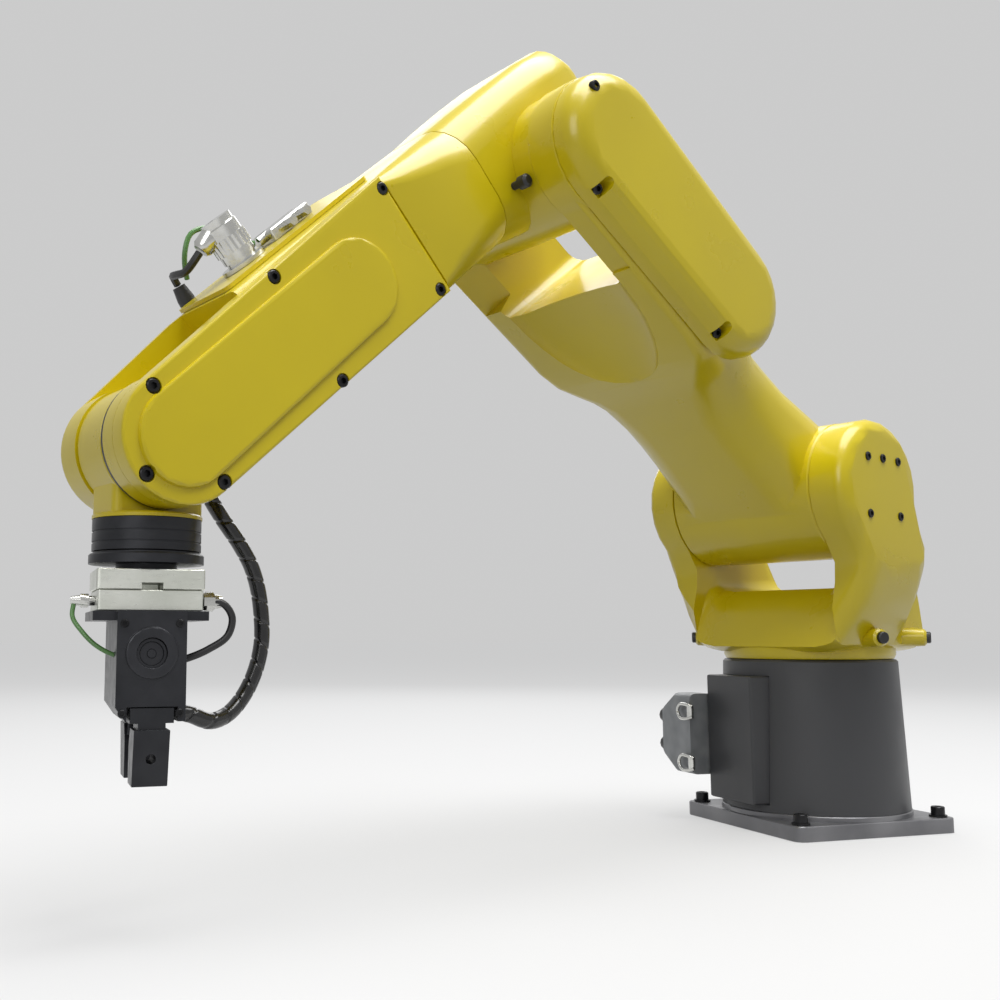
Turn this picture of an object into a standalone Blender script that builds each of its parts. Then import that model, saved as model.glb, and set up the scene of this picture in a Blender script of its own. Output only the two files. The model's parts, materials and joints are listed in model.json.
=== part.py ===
"""Compact six-axis industrial robot arm on its own base, with a two-finger gripper.

Metres, +Z up. The origin is the centre of the base plate's underside, on the first axis.
+X is the front of the base, away from the connector box; the arm is turned towards -X.
"""
from math import atan, cos, degrees, hypot, pi, radians, sin

import bmesh
import bpy
import numpy as np
from mathutils import Matrix, Vector

MM = 0.001

# Reach of the arm, from axis to axis
SHOULDER_OFFSET = 50 * MM
SHOULDER_HEIGHT = 330 * MM
UPPER_ARM_LENGTH = 440 * MM
ELBOW_OFFSET = 35 * MM
FOREARM_LENGTH = 420 * MM
FLANGE_DISTANCE = 80 * MM

# Resting angles in degrees
WAIST_TURN = -161.3
SHOULDER_LEAN = 56.2
FOREARM_DROP = 42.9
WRIST_DROP = 90.0
GRIPPER_TURN = 18.7

# Gaps between pieces
SEAT_GAP = 0.3 * MM
JOINT_GAP = 0.8 * MM
WIDE_GAP = 2.0 * MM

# Base
PLATE_HALF = 92.3 * MM
PLATE_THICKNESS = 14 * MM
PLATE_CORNER = 9 * MM
PLATE_EDGE = 0.8 * MM
PAD_RADIUS = 91.5 * MM
PAD_HEIGHT = 5 * MM
BOLT_HALF_PITCH = 80 * MM
BOLT_HOLE_RADIUS = 4.5 * MM
BOLT_SHANK_RADIUS = 4 * MM
BOLT_HEAD_RADIUS = 6.5 * MM
BOLT_HEAD_HEIGHT = 8 * MM
BOLT_SOCKET_RADIUS = 3.2 * MM
BOLT_SOCKET_DEPTH = 4 * MM
WASHER_RADIUS = 8.5 * MM
WASHER_THICKNESS = 1.6 * MM
PEDESTAL_FOOT_RADIUS = 90.5 * MM
PEDESTAL_TOP_RADIUS = 85 * MM
PEDESTAL_TOP = 166 * MM
PEDESTAL_LIP = 2 * MM
BOX_HALF_WIDTH = 37 * MM
BOX_BACK = 99 * MM
BOX_FRONT = 76 * MM
BOX_LOW = 26 * MM
BOX_HIGH = 150 * MM
BOX_EDGE = 2.5 * MM
HOOD_BACK = 120 * MM
HOOD_WIDTH = 30 * MM
HOOD_REACH = 56 * MM
HOOD_TAPER = 14 * MM
HOOD_HEIGHTS = (48 * MM, 130 * MM)
HOOD_CORNER = 7 * MM
GLAND_RADIUS = 9 * MM
GLAND_LENGTH = 17 * MM
GLAND_HEIGHTS = (74 * MM, 104 * MM)

# Turret
DRUM_RADIUS = 83.5 * MM
DRUM_TOP = 196 * MM
SADDLE_TOP = SHOULDER_HEIGHT - 94 * MM
HUB_RADIUS = 66 * MM
HUB_FAR = -75 * MM
HUB_NEAR = 82.5 * MM
# Cheek's back and front edges as (x, height above the shoulder axis) in millimetres, long and short
CHEEK_FOOT_LOW = SHOULDER_HEIGHT - 154 * MM
CHEEK_FOOT_HIGH = SHOULDER_HEIGHT - 80 * MM
CHEEK_BACK_LOW = ((-25, -42), (-35, -68), (-33, -106), (-25, -138))
CHEEK_BACK_HIGH = ((-22, -36), (-29, -52), (-26, -66), (-16, -76))
CHEEK_FRONT_LOW = ((84, -144), (88, -118), (80, -92), (78, -72))
CHEEK_FRONT_HIGH = ((66, -77), (75, -73), (83, -67), (89, -60))
FAR_CHEEK_FACE = -111 * MM
NEAR_CHEEK_FACE = 120 * MM
STOP_AZIMUTHS = (69.0, 117.0, -52.0)
STOP_REACH = 112 * MM
STOP_HEIGHT = 188 * MM
STOP_ROOT_RADIUS = 11 * MM
STOP_TIP_RADIUS = 8.5 * MM
STOP_ROOT_REACH = 62 * MM

# Upper arm
ARM_FAR_FACE = -78 * MM
ARM_NEAR_FACE = 107 * MM
PRONG_RADIUS = 55.5 * MM
FORK_FAR_FACE = -52 * MM
FORK_NEAR_FACE = 81 * MM
FORK_FLOOR = UPPER_ARM_LENGTH - 112 * MM
FORK_FLOOR_SLOPE = 0.3
FORK_CORNER = 14 * MM
FORK_RELIEF = (25 * MM, 21 * MM)
SCOOP_HEIGHT = UPPER_ARM_LENGTH - 95 * MM
SCOOP_HALF_LENGTH = 110 * MM
SCOOP_HALF_WIDTH = 66 * MM
SCOOP_DEPTH = 17 * MM
COVER_TOP_RADIUS = 54.5 * MM
COVER_LOW_RADIUS = 52 * MM
COVER_LOW_CENTRE = UPPER_ARM_LENGTH - 178 * MM
COVER_FACE = 132 * MM
COVER_ROUND = 18 * MM
FAR_COVER_RADIUS = 46 * MM
FAR_COVER_LOW_CENTRE = UPPER_ARM_LENGTH - 170 * MM
FAR_COVER_THICKNESS = 5 * MM
FAR_COVER_ROUND = 2.5 * MM
SLOT_RADIUS = 5 * MM
SLOT_DEPTH = 5 * MM

# Elbow
CASING_FAR_FACE = -51 * MM
ELBOW_HUB_RADIUS = 54 * MM
ELBOW_HUB_FACE = 80.2 * MM
CASING_FRONT = 78 * MM
CASING_REAR = 84 * MM
REAR_CAP_THICKNESS = 7 * MM
KNOB_RADIUS = 5.5 * MM
KNOB_PLACE = (59 * MM, 13 * MM)
KNOB_SPAN = (61 * MM, 78 * MM)

# Forearm
FOREARM_FAR_FACE = -50 * MM
FOREARM_NEAR_WALL = 40 * MM
COVER_BACK = 167.5 * MM
FOREARM_COVER_FACE = 54.5 * MM
FOREARM_COVER_HALF = 50.5 * MM
FOREARM_COVER_EDGE = 2 * MM
WRIST_END_RADIUS = 43.7 * MM
PANEL_RADIUS = 33 * MM
PANEL_HEIGHT = 3 * MM
PANEL_BACK = 237 * MM
SCREW_PLACES = ((171, 41.5), (295, 42), (417, 37.5), (457, -1), (418, -38.5), (297, -43.5), (176, -44))
SCREW_RECESS_RADIUS = 5.5 * MM
SCREW_RECESS_DEPTH = 3.5 * MM
WRIST_GAP_FAR = -20.3 * MM
WRIST_GAP_NEAR = 25 * MM
WRIST_GAP_RADIUS = 52 * MM
NOTCH_BACK = FOREARM_LENGTH - 102 * MM
NOTCH_FRONT = FOREARM_LENGTH + 4 * MM
NOTCH_HALF_WIDTH = 39.5 * MM
NOTCH_CORE = 14 * MM
SEAL_RADIUS = 43.4 * MM
SEAL_THICKNESS = 4 * MM

# Fittings on top of the forearm
FOREARM_TOP = 50 * MM
SERVICE_PLATE = (150 * MM, 312 * MM)
SERVICE_PLATE_SIDES = (-50 * MM, 24 * MM)
SERVICE_PLATE_THICKNESS = 3 * MM
PLUG_PLACE = (263 * MM, -13 * MM)
PLUG_RADIUS = 13.5 * MM
PLUG_HEIGHT = 38 * MM
MANIFOLD_SPAN = (190 * MM, 234 * MM)
MANIFOLD_SIDES = (-26 * MM, -4 * MM)
MANIFOLD_HEIGHT = 9 * MM
FITTING_RADIUS = 5 * MM

# Wrist and flange
WRIST_HUB_RADIUS = 42.5 * MM
WRIST_HALF_WIDTH = 19.5 * MM
WRIST_RIM_RADIUS = 36 * MM
WRIST_RIM = (45.8 * MM, 49 * MM)
STACK_RADIUS = 35.6 * MM
STACK_END = 70 * MM
GROOVE_DEPTH = 0.8 * MM
GROOVE_WIDTH = 1.2 * MM
FLANGE_RIM_RADIUS = 37.5 * MM
FLANGE_FACE = 78.4 * MM
BOSS_RADIUS = 20 * MM

# Gripper
PLATE_HALF_WIDTH = 34 * MM
UPPER_PLATE_THICKNESS = 13 * MM
LOWER_PLATE_THICKNESS = 13 * MM
LOWER_PLATE_HALF = 33 * MM
BODY_HALF_WIDTH = 21.5 * MM
BODY_HALF_DEPTH = 43 * MM
BODY_LENGTH = 68 * MM
BODY_CHAMFER = 9 * MM
PORT_RADIUS = 16 * MM
PORT_BORE = 9.5 * MM
RAIL_DEPTH = 9 * MM
RAIL_HALF_WIDTH = 7 * MM
FINGER_BASE_HALF = 13.5 * MM
FINGER_NECK_HALF = 8.5 * MM
FINGER_BLOCK_HALF = 11 * MM
FINGER_OUTER = 45 * MM
FINGER_INNER = 13 * MM
FINGER_END = 217 * MM
FINGER_HOLE_RADIUS = 3 * MM

# Hose and cables
HOSE_RADIUS = 5.8 * MM
CABLE_RADIUS = 3 * MM
TUBE_RADIUS = 2 * MM

YELLOW = (0.62, 0.50, 0.010)


def clear_scene():
    """Empty the file."""
    for item in list(bpy.data.objects):
        bpy.data.objects.remove(item, do_unlink=True)


def material(name, colour, roughness, metallic=0.0):
    """A plain Principled material."""
    finish = bpy.data.materials.new(name)
    finish.use_nodes = True
    shader = finish.node_tree.nodes["Principled BSDF"]
    shader.inputs["Base Color"].default_value = (*colour, 1.0)
    shader.inputs["Roughness"].default_value = roughness
    shader.inputs["Metallic"].default_value = metallic
    return finish


def joint_frame(name, parent, place, turn_axis=None, degrees_turned=0.0):
    """An empty on a joint's axis."""
    frame = bpy.data.objects.new(name, None)
    bpy.context.collection.objects.link(frame)
    frame.parent = parent
    frame.location = place
    if turn_axis:
        frame.rotation_euler["XYZ".index(turn_axis)] = radians(degrees_turned)
    return frame


def add_object(name, shape, parent, finish=None):
    """Put a bmesh into the scene as an object, smooth except at its sharp edges."""
    bmesh.ops.remove_doubles(shape, verts=shape.verts, dist=0.01 * MM)
    bmesh.ops.recalc_face_normals(shape, faces=shape.faces)
    mesh = bpy.data.meshes.new(name)
    shape.to_mesh(mesh)
    shape.free()
    mesh.shade_smooth()
    mesh.set_sharp_from_angle(angle=radians(35))
    item = bpy.data.objects.new(name, mesh)
    bpy.context.collection.objects.link(item)
    item.parent = parent
    if finish:
        mesh.materials.append(finish)
    return item


def loft(rings):
    """Skin closed rings of equal count one after another, and cap both ends."""
    shape = bmesh.new()
    rows = [[shape.verts.new(point) for point in ring] for ring in rings]
    count = len(rows[0])
    for low, high in zip(rows, rows[1:]):
        for i in range(count):
            j = (i + 1) % count
            shape.faces.new((low[i], low[j], high[j], high[i]))
    shape.faces.new(rows[0][::-1])
    shape.faces.new(rows[-1])
    return shape


def arc(centre, radius, start, end, count):
    """Points on an arc, with the angles in degrees."""
    angles = np.radians(np.linspace(start, end, count))
    return np.column_stack((centre[0] + radius * np.cos(angles), centre[1] + radius * np.sin(angles)))


def rounded_rectangle(low, high, corner, steps=4):
    """A rectangle between two corners, with a quarter circle of the given radius at each."""
    centres = (
        (high[0] - corner, high[1] - corner, 0),
        (low[0] + corner, high[1] - corner, 90),
        (low[0] + corner, low[1] + corner, 180),
        (high[0] - corner, low[1] + corner, 270),
    )
    return np.vstack([arc((x, y), corner, turn, turn + 90, steps) for x, y, turn in centres])


def stadium(first, first_radius, second, second_radius, steps=12):
    """Outline round two circles, with its straight sides tangent to both."""
    offset = np.subtract(second, first)
    distance = hypot(*offset)
    heading = degrees(np.arctan2(offset[1], offset[0]))
    lean = degrees(np.arcsin((first_radius - second_radius) / distance))
    head = arc(first, first_radius, heading + 90 - lean, heading + 270 + lean, steps)
    tail = arc(second, second_radius, heading - 90 + lean, heading + 90 - lean, steps)
    return np.vstack((head, tail))


def shrunk(outline, inset):
    """The outline moved inwards along its own normals."""
    ahead = np.roll(outline, -1, axis=0) - outline
    behind = outline - np.roll(outline, 1, axis=0)
    tangent = ahead / np.linalg.norm(ahead, axis=1)[:, None] + behind / np.linalg.norm(behind, axis=1)[:, None]
    tangent /= np.linalg.norm(tangent, axis=1)[:, None]
    x, y = outline.T
    area = np.sum(x * np.roll(y, -1) - y * np.roll(x, -1))
    inward = np.column_stack((-tangent[:, 1], tangent[:, 0])) * np.sign(area)
    return outline + inward * inset


def along(axis, outline, height):
    """Lift a flat outline to a ring at a height on an axis: X takes (y, z), Y (x, z), Z (x, y)."""
    level = np.full(len(outline), height)
    columns = {
        "X": (level, outline[:, 0], outline[:, 1]),
        "Y": (outline[:, 0], level, outline[:, 1]),
        "Z": (outline[:, 0], outline[:, 1], level),
    }
    return np.column_stack(columns[axis])


def cushion(axis, outline, low, high, low_round=0.0, high_round=0.0, steps=4):
    """An outline drawn out along an axis, with its two rims rounded by quarter circles."""
    rings = []
    if low_round:
        for angle in np.linspace(0, pi / 2, steps)[:-1]:
            inset = low_round * (1 - sin(angle))
            rings.append(along(axis, shrunk(outline, inset), low + low_round * (1 - cos(angle))))
    rings.append(along(axis, outline, low + low_round))
    rings.append(along(axis, outline, high - high_round))
    if high_round:
        for angle in np.linspace(0, pi / 2, steps)[1:]:
            inset = high_round * (1 - cos(angle))
            rings.append(along(axis, shrunk(outline, inset), high - high_round * (1 - sin(angle))))
    return loft(rings)


def turned(axis, profile, centre=(0.0, 0.0), steps=32):
    """A body turned about an axis from a profile of (height, radius) pairs."""
    return loft([along(axis, arc(centre, radius, 0, 360 - 360 / steps, steps), height)
                 for height, radius in profile])


def tube(name, points, radius, parent, finish, sides=2, count=48):
    """A plain tube along a smooth curve through the route's points."""
    route = np.array(points) * MM
    spans = np.linalg.norm(np.diff(route, axis=0), axis=1)
    knots = np.concatenate(([0.0], np.cumsum(spans)))
    slopes = np.gradient(route, knots, axis=0)
    places = np.linspace(0, knots[-1], count)
    piece = np.clip(np.searchsorted(knots, places, side="right") - 1, 0, len(spans) - 1)
    width = spans[piece]
    t = ((places - knots[piece]) / width)[:, None]
    width = width[:, None]
    smooth = (
        (2 * t**3 - 3 * t**2 + 1) * route[piece]
        + (t**3 - 2 * t**2 + t) * width * slopes[piece]
        + (3 * t**2 - 2 * t**3) * route[piece + 1]
        + (t**3 - t**2) * width * slopes[piece + 1]
    )
    curve = bpy.data.curves.new(name, "CURVE")
    curve.dimensions = "3D"
    curve.bevel_depth = radius
    curve.bevel_resolution = sides
    curve.use_fill_caps = True
    spline = curve.splines.new("POLY")
    spline.points.add(count - 1)
    for point, place in zip(spline.points, smooth):
        point.co = (*place, 1.0)
    curve.materials.append(finish)
    item = bpy.data.objects.new(name, curve)
    bpy.context.collection.objects.link(item)
    item.parent = parent
    return item


def change(item, operation, shape):
    """Cut a shape from an object, or join it on, with a Boolean modifier."""
    tool = add_object(f"{item.name}_{operation.lower()}_{len(item.modifiers)}", shape, item.parent)
    tool.hide_render = True
    tool.display_type = "WIRE"
    boolean = item.modifiers.new(tool.name, "BOOLEAN")
    boolean.operation = operation
    boolean.object = tool
    boolean.solver = "EXACT"


def block(low, high):
    """A plain box between two corners."""
    outline = np.array(((low[0], low[1]), (high[0], low[1]), (high[0], high[1]), (low[0], high[1])))
    return loft([along("Z", outline, low[2]), along("Z", outline, high[2])])


def aimed(shape, direction, place):
    """Turn a shape's +X to a direction and move its origin to a place."""
    turn = Vector(direction).to_track_quat("X", "Z").to_matrix().to_4x4()
    bmesh.ops.transform(shape, matrix=Matrix.Translation(place) @ turn, verts=shape.verts)
    return shape


def make_base(frame, paint):
    """Bolted plate, tapered pedestal, connector box and its hood."""
    square = rounded_rectangle((-PLATE_HALF, -PLATE_HALF), (PLATE_HALF, PLATE_HALF), PLATE_CORNER)
    slab = cushion("Z", square, 0, PLATE_THICKNESS, 0, PLATE_EDGE, 2)
    plate = add_object("base_plate", slab, frame, paint["plate"])
    pad_top = PLATE_THICKNESS + PAD_HEIGHT
    pad = turned("Z", ((PLATE_THICKNESS / 2, PAD_RADIUS), (pad_top - PLATE_EDGE, PAD_RADIUS),
                       (pad_top, PAD_RADIUS - PLATE_EDGE)), steps=40)
    change(plate, "UNION", pad)
    corners = [(x * BOLT_HALF_PITCH, y * BOLT_HALF_PITCH) for x in (1, -1) for y in (1, -1)]
    for corner in corners:
        hole = ((-1 * MM, BOLT_HOLE_RADIUS), (pad_top, BOLT_HOLE_RADIUS))
        change(plate, "DIFFERENCE", turned("Z", hole, corner, 16))
    for index, corner in enumerate(corners, 1):
        make_bolt(index, corner, frame, paint["black_steel"])
    make_pedestal(frame, paint, pad_top + SEAT_GAP)
    make_connector_box(frame, paint)


def make_bolt(index, corner, frame, finish):
    """A socket-head bolt with its washer, standing in its hole."""
    seat = PLATE_THICKNESS + SEAT_GAP
    washer_top = seat + WASHER_THICKNESS
    head_top = washer_top + BOLT_HEAD_HEIGHT
    profile = (
        (1 * MM, BOLT_SHANK_RADIUS), (seat, BOLT_SHANK_RADIUS), (seat, WASHER_RADIUS),
        (washer_top, WASHER_RADIUS), (washer_top, BOLT_HEAD_RADIUS), (head_top - PLATE_EDGE, BOLT_HEAD_RADIUS),
        (head_top, BOLT_HEAD_RADIUS - PLATE_EDGE), (head_top, BOLT_SOCKET_RADIUS),
        (head_top - BOLT_SOCKET_DEPTH, BOLT_SOCKET_RADIUS),
    )
    add_object(f"mounting_bolt_{index}", turned("Z", profile, corner, 12), frame, finish)


def make_pedestal(frame, paint, foot):
    """The dark cone under the turret, with a pocket at the back for the connector box."""
    profile = ((foot, PEDESTAL_FOOT_RADIUS), (PEDESTAL_TOP - PEDESTAL_LIP, PEDESTAL_TOP_RADIUS),
               (PEDESTAL_TOP, PEDESTAL_TOP_RADIUS - PEDESTAL_LIP))
    pedestal = add_object("pedestal", turned("Z", profile, steps=64), frame, paint["pedestal"])
    pocket = block((-BOX_BACK, -BOX_HALF_WIDTH - SEAT_GAP, BOX_LOW - SEAT_GAP),
                   (-BOX_FRONT + SEAT_GAP, BOX_HALF_WIDTH + SEAT_GAP, BOX_HIGH + SEAT_GAP))
    change(pedestal, "DIFFERENCE", pocket)


def make_connector_box(frame, paint):
    """Socket box in the pedestal's back, the hooded plug on it and the two glands."""
    face = rounded_rectangle((-BOX_HALF_WIDTH, BOX_LOW), (BOX_HALF_WIDTH, BOX_HIGH), BOX_EDGE)
    box = cushion("X", face, -BOX_BACK, -BOX_FRONT, BOX_EDGE, 0, 3)
    add_object("connector_box", box, frame, paint["pedestal"])
    make_hood(frame, paint)


def make_hood(frame, paint):
    """Cast plug hood at the box's side, tapering to its two cable glands."""
    middle = -HOOD_BACK + HOOD_WIDTH / 2
    start = BOX_HALF_WIDTH + SEAT_GAP
    low, high = HOOD_HEIGHTS
    half = HOOD_WIDTH / 2
    rings = []
    for reach, inset in ((0, 0), (HOOD_REACH * 0.55, 0), (HOOD_REACH * 0.94, HOOD_TAPER), (HOOD_REACH, HOOD_TAPER + 3 * MM)):
        corner = max(HOOD_CORNER - inset * 0.2, 2 * MM)
        edge = inset * 0.15
        face = rounded_rectangle((middle - half + edge, low + inset), (middle + half - edge, high - inset), corner)
        rings.append(along("Y", face, start + reach))
    add_object("connector_hood", loft(rings), frame, paint["grey_metal"])
    end = start + HOOD_REACH + SEAT_GAP
    for name, height in zip(("lower", "upper"), GLAND_HEIGHTS):
        profile = ((end, GLAND_RADIUS), (end + GLAND_LENGTH * 0.4, GLAND_RADIUS),
                   (end + GLAND_LENGTH * 0.45, GLAND_RADIUS * 0.85),
                   (end + GLAND_LENGTH * 0.8, GLAND_RADIUS * 0.85), (end + GLAND_LENGTH, GLAND_RADIUS * 0.6))
        gland = turned("Y", profile, (middle, height), 12)
        add_object(f"cable_gland_{name}", gland, frame, paint["black_plastic"])


def cheek_outline(foot, inset):
    """Side view (x, z) of one shoulder cheek: round head, bowed back, and a foot at a given height.

    The back and the front blend from their full length to a short stub as the foot rises.
    """
    hub = (SHOULDER_OFFSET, SHOULDER_HEIGHT)
    head = arc(hub, HUB_RADIUS, -50, 190, 17)
    share = (foot - CHEEK_FOOT_LOW) / (CHEEK_FOOT_HIGH - CHEEK_FOOT_LOW)
    back = (1 - share) * np.array(CHEEK_BACK_LOW) + share * np.array(CHEEK_BACK_HIGH)
    front = (1 - share) * np.array(CHEEK_FRONT_LOW) + share * np.array(CHEEK_FRONT_HIGH)
    sides = np.vstack((back, front)) * MM + np.array((0, SHOULDER_HEIGHT))
    back, front = sides[:len(back)], sides[len(back):]
    base = np.column_stack((np.linspace(back[-1, 0] + 8 * MM, front[0, 0] - 8 * MM, 5), np.full(5, foot)))
    return shrunk(np.vstack((head, back, base, front)), inset)


def saddle_outline(foot, top):
    """Side view (x, z) of the turret between its cheeks: a sloping front below the arm."""
    lid = np.column_stack((np.linspace(48, -58, 17) * MM, np.full(17, top)))
    back = np.array((-66, -70, -73, -76)), np.array((0.82, 0.6, 0.38, 0.16))
    front = np.array((84, 78, 70, 60)), np.array((0.08, 0.32, 0.58, 0.84))
    base = np.column_stack((np.linspace(-66, 72, 5) * MM, np.full(5, foot)))
    sides = [np.column_stack((x * MM, foot + share * (top - foot))) for x, share in (back, front)]
    return np.vstack((lid, sides[0], base, sides[1]))


def make_turret(frame, paint):
    """The yoke that turns on the pedestal: two cheeks, the saddle between them and a round drum."""
    step = 0.2 * MM
    foot = PEDESTAL_TOP + JOINT_GAP
    far, near = HUB_FAR - JOINT_GAP, HUB_NEAR + JOINT_GAP
    low = CHEEK_FOOT_LOW
    stations = [(FAR_CHEEK_FACE + out, cheek_outline(low + rise, inset)) for out, rise, inset in (
        (0, 72 * MM, 11 * MM), (2 * MM, 68 * MM, 6 * MM), (5 * MM, 60 * MM, 2.4 * MM), (10 * MM, 49 * MM, 0),
        (21 * MM, 28 * MM, 0), (far - FAR_CHEEK_FACE - step, 6 * MM, 0))]
    stations += [(y, saddle_outline(low + rise, SADDLE_TOP + lift)) for y, rise, lift in (
        (far, 5 * MM, 16 * MM), (far + 4 * MM, 2 * MM, 8 * MM), (far + 11 * MM, 0, 2.5 * MM),
        (far + 22 * MM, -2 * MM, 0), (near - 22 * MM, -2 * MM, 0), (near - 11 * MM, 0, 2.5 * MM),
        (near - 4 * MM, 2 * MM, 8 * MM), (near, 5 * MM, 16 * MM))]
    stations += [(NEAR_CHEEK_FACE - out, cheek_outline(low + rise, inset)) for out, rise, inset in (
        (NEAR_CHEEK_FACE - near - step, 6 * MM, 0), (22 * MM, 25 * MM, 0), (12 * MM, 43 * MM, 0),
        (6.5 * MM, 54 * MM, 2.4 * MM), (3 * MM, 62 * MM, 6 * MM), (0, 68 * MM, 12 * MM))]
    shape = loft([along("Y", outline, y) for y, outline in stations])
    turret = add_object("turret_casting", shape, frame, paint["yellow"])
    drum = turned("Z", ((foot, DRUM_RADIUS - 2 * MM), (foot + 4 * MM, DRUM_RADIUS),
                        (178 * MM, DRUM_RADIUS), (DRUM_TOP, 70 * MM)), steps=48)
    change(turret, "UNION", drum)
    for azimuth in STOP_AZIMUTHS:
        stop = turned("X", ((STOP_ROOT_REACH, STOP_ROOT_RADIUS), (STOP_REACH - 2 * MM, STOP_TIP_RADIUS),
                            (STOP_REACH, STOP_TIP_RADIUS - 2 * MM)), steps=16)
        direction = (cos(radians(azimuth)), sin(radians(azimuth)), 0)
        change(turret, "UNION", aimed(stop, direction, (0, 0, STOP_HEIGHT)))


def make_upper_arm(frame, paint):
    """The long casting: hub at the turret, waisted beam and an open fork for the elbow."""
    top = UPPER_ARM_LENGTH / MM
    sections = (
        (20, -56, 56, -73, 79, 34), (66, -51, 51, -71, 77, 36), (110, -47, 47, -69, 74, 38),
        (140, -45.5, 45.5, -68, 74, 38), (top - 275, -45, 45, -68, 74, 38), (top - 240, -46, 46, -69, 82, 34),
        (top - 222, -48, 48, -71, 91, 29), (top - 205, -51, 51, -75, 99, 22), (top - 188, -54, 54, -78, 105, 15),
        (top - 165, -55.5, 55.5, -78, 107, 10), (top, -55.5, 55.5, -78, 107, 8),
    )
    rings = []
    for height, back, front, far, near, corner in sections:
        outline = rounded_rectangle((back * MM, far * MM), (front * MM, near * MM), corner * MM, 5)
        rings.append(along("Z", outline, height * MM))
    arm = add_object("upper_arm_casting", loft(rings), frame, paint["yellow"])
    hub = arc((0, 0), HUB_RADIUS, 0, 360 - 360 / 56, 56)
    change(arm, "UNION", cushion("Y", hub, HUB_FAR, HUB_NEAR, 1.5 * MM, 1.5 * MM, 2))
    head = arc((0, UPPER_ARM_LENGTH), PRONG_RADIUS, 0, 360 - 360 / 56, 56)
    change(arm, "UNION", cushion("Y", head, ARM_FAR_FACE, ARM_NEAR_FACE, 5 * MM, 1.5 * MM, 3))
    change(arm, "DIFFERENCE", fork_opening())
    change(arm, "DIFFERENCE", scoop())
    for face, side in ((FORK_FAR_FACE, -1), (FORK_NEAR_FACE, 1)):
        change(arm, "DIFFERENCE", fork_relief(face, side))
    make_arm_covers(frame, paint)


def fork_opening():
    """Slot between the prongs, round-cornered at its floor, which slopes down to the back."""
    high = UPPER_ARM_LENGTH + 2 * PRONG_RADIUS
    outline = rounded_rectangle((FORK_FAR_FACE, FORK_FLOOR), (FORK_NEAR_FACE, high), FORK_CORNER, 5)
    shape = loft([along("X", outline, x) for x in (-90 * MM, 90 * MM)])
    for vertex in shape.verts:
        vertex.co.z += FORK_FLOOR_SLOPE * vertex.co.x
    return shape


def fork_relief(face, side):
    """Wedge that bevels a prong's inner front edge, to pass the folded forearm."""
    deep, wide = FORK_RELIEF
    front = PRONG_RADIUS + 1 * MM
    outline = np.array(((front - deep, face - side * 1 * MM), (front, face - side * 1 * MM), (front, face + side * wide)))
    heights = FORK_FLOOR + FORK_CORNER + FORK_FLOOR_SLOPE * front, UPPER_ARM_LENGTH + 2 * PRONG_RADIUS
    return loft([along("Z", outline, height) for height in heights])


def scoop():
    """Shallow ellipsoid that hollows the front of the casting under the fork."""
    shape = bmesh.new()
    bmesh.ops.create_uvsphere(shape, u_segments=32, v_segments=16, radius=1.0)
    size = Matrix.Diagonal((SCOOP_DEPTH, SCOOP_HALF_WIDTH, SCOOP_HALF_LENGTH, 1.0))
    middle = (FORK_FAR_FACE + FORK_NEAR_FACE) / 2 + 3 * MM
    place = Matrix.Translation((PRONG_RADIUS, middle, SCOOP_HEIGHT))
    bmesh.ops.transform(shape, matrix=place @ size, verts=shape.verts)
    return shape


def make_arm_covers(frame, paint):
    """Domed belt cover on the near side and a thin lid on the far side."""
    outline = stadium((0, UPPER_ARM_LENGTH), COVER_TOP_RADIUS, (0, COVER_LOW_CENTRE), COVER_LOW_RADIUS, 14)
    dome = cushion("Y", outline, ARM_NEAR_FACE + SEAT_GAP, COVER_FACE, 0, COVER_ROUND, 6)
    cover = add_object("near_arm_cover", dome, frame, paint["yellow"])
    for x, z in ((46 * MM, 432 * MM), (43 * MM, 266 * MM)):
        slot = stadium((0, 0), SLOT_RADIUS, (40 * MM, 0), SLOT_RADIUS, 8)
        floor = COVER_FACE - COVER_ROUND + SLOT_DEPTH
        change(cover, "DIFFERENCE", cushion("Y", slot + np.array((x, z)), floor, COVER_FACE + SLOT_DEPTH))
    lid = stadium((0, UPPER_ARM_LENGTH), FAR_COVER_RADIUS, (0, FAR_COVER_LOW_CENTRE), FAR_COVER_RADIUS, 12)
    back = ARM_FAR_FACE - SEAT_GAP
    add_object("far_arm_cover", cushion("Y", lid, back - FAR_COVER_THICKNESS, back, FAR_COVER_ROUND, 0, 3),
               frame, paint["yellow"])


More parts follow.
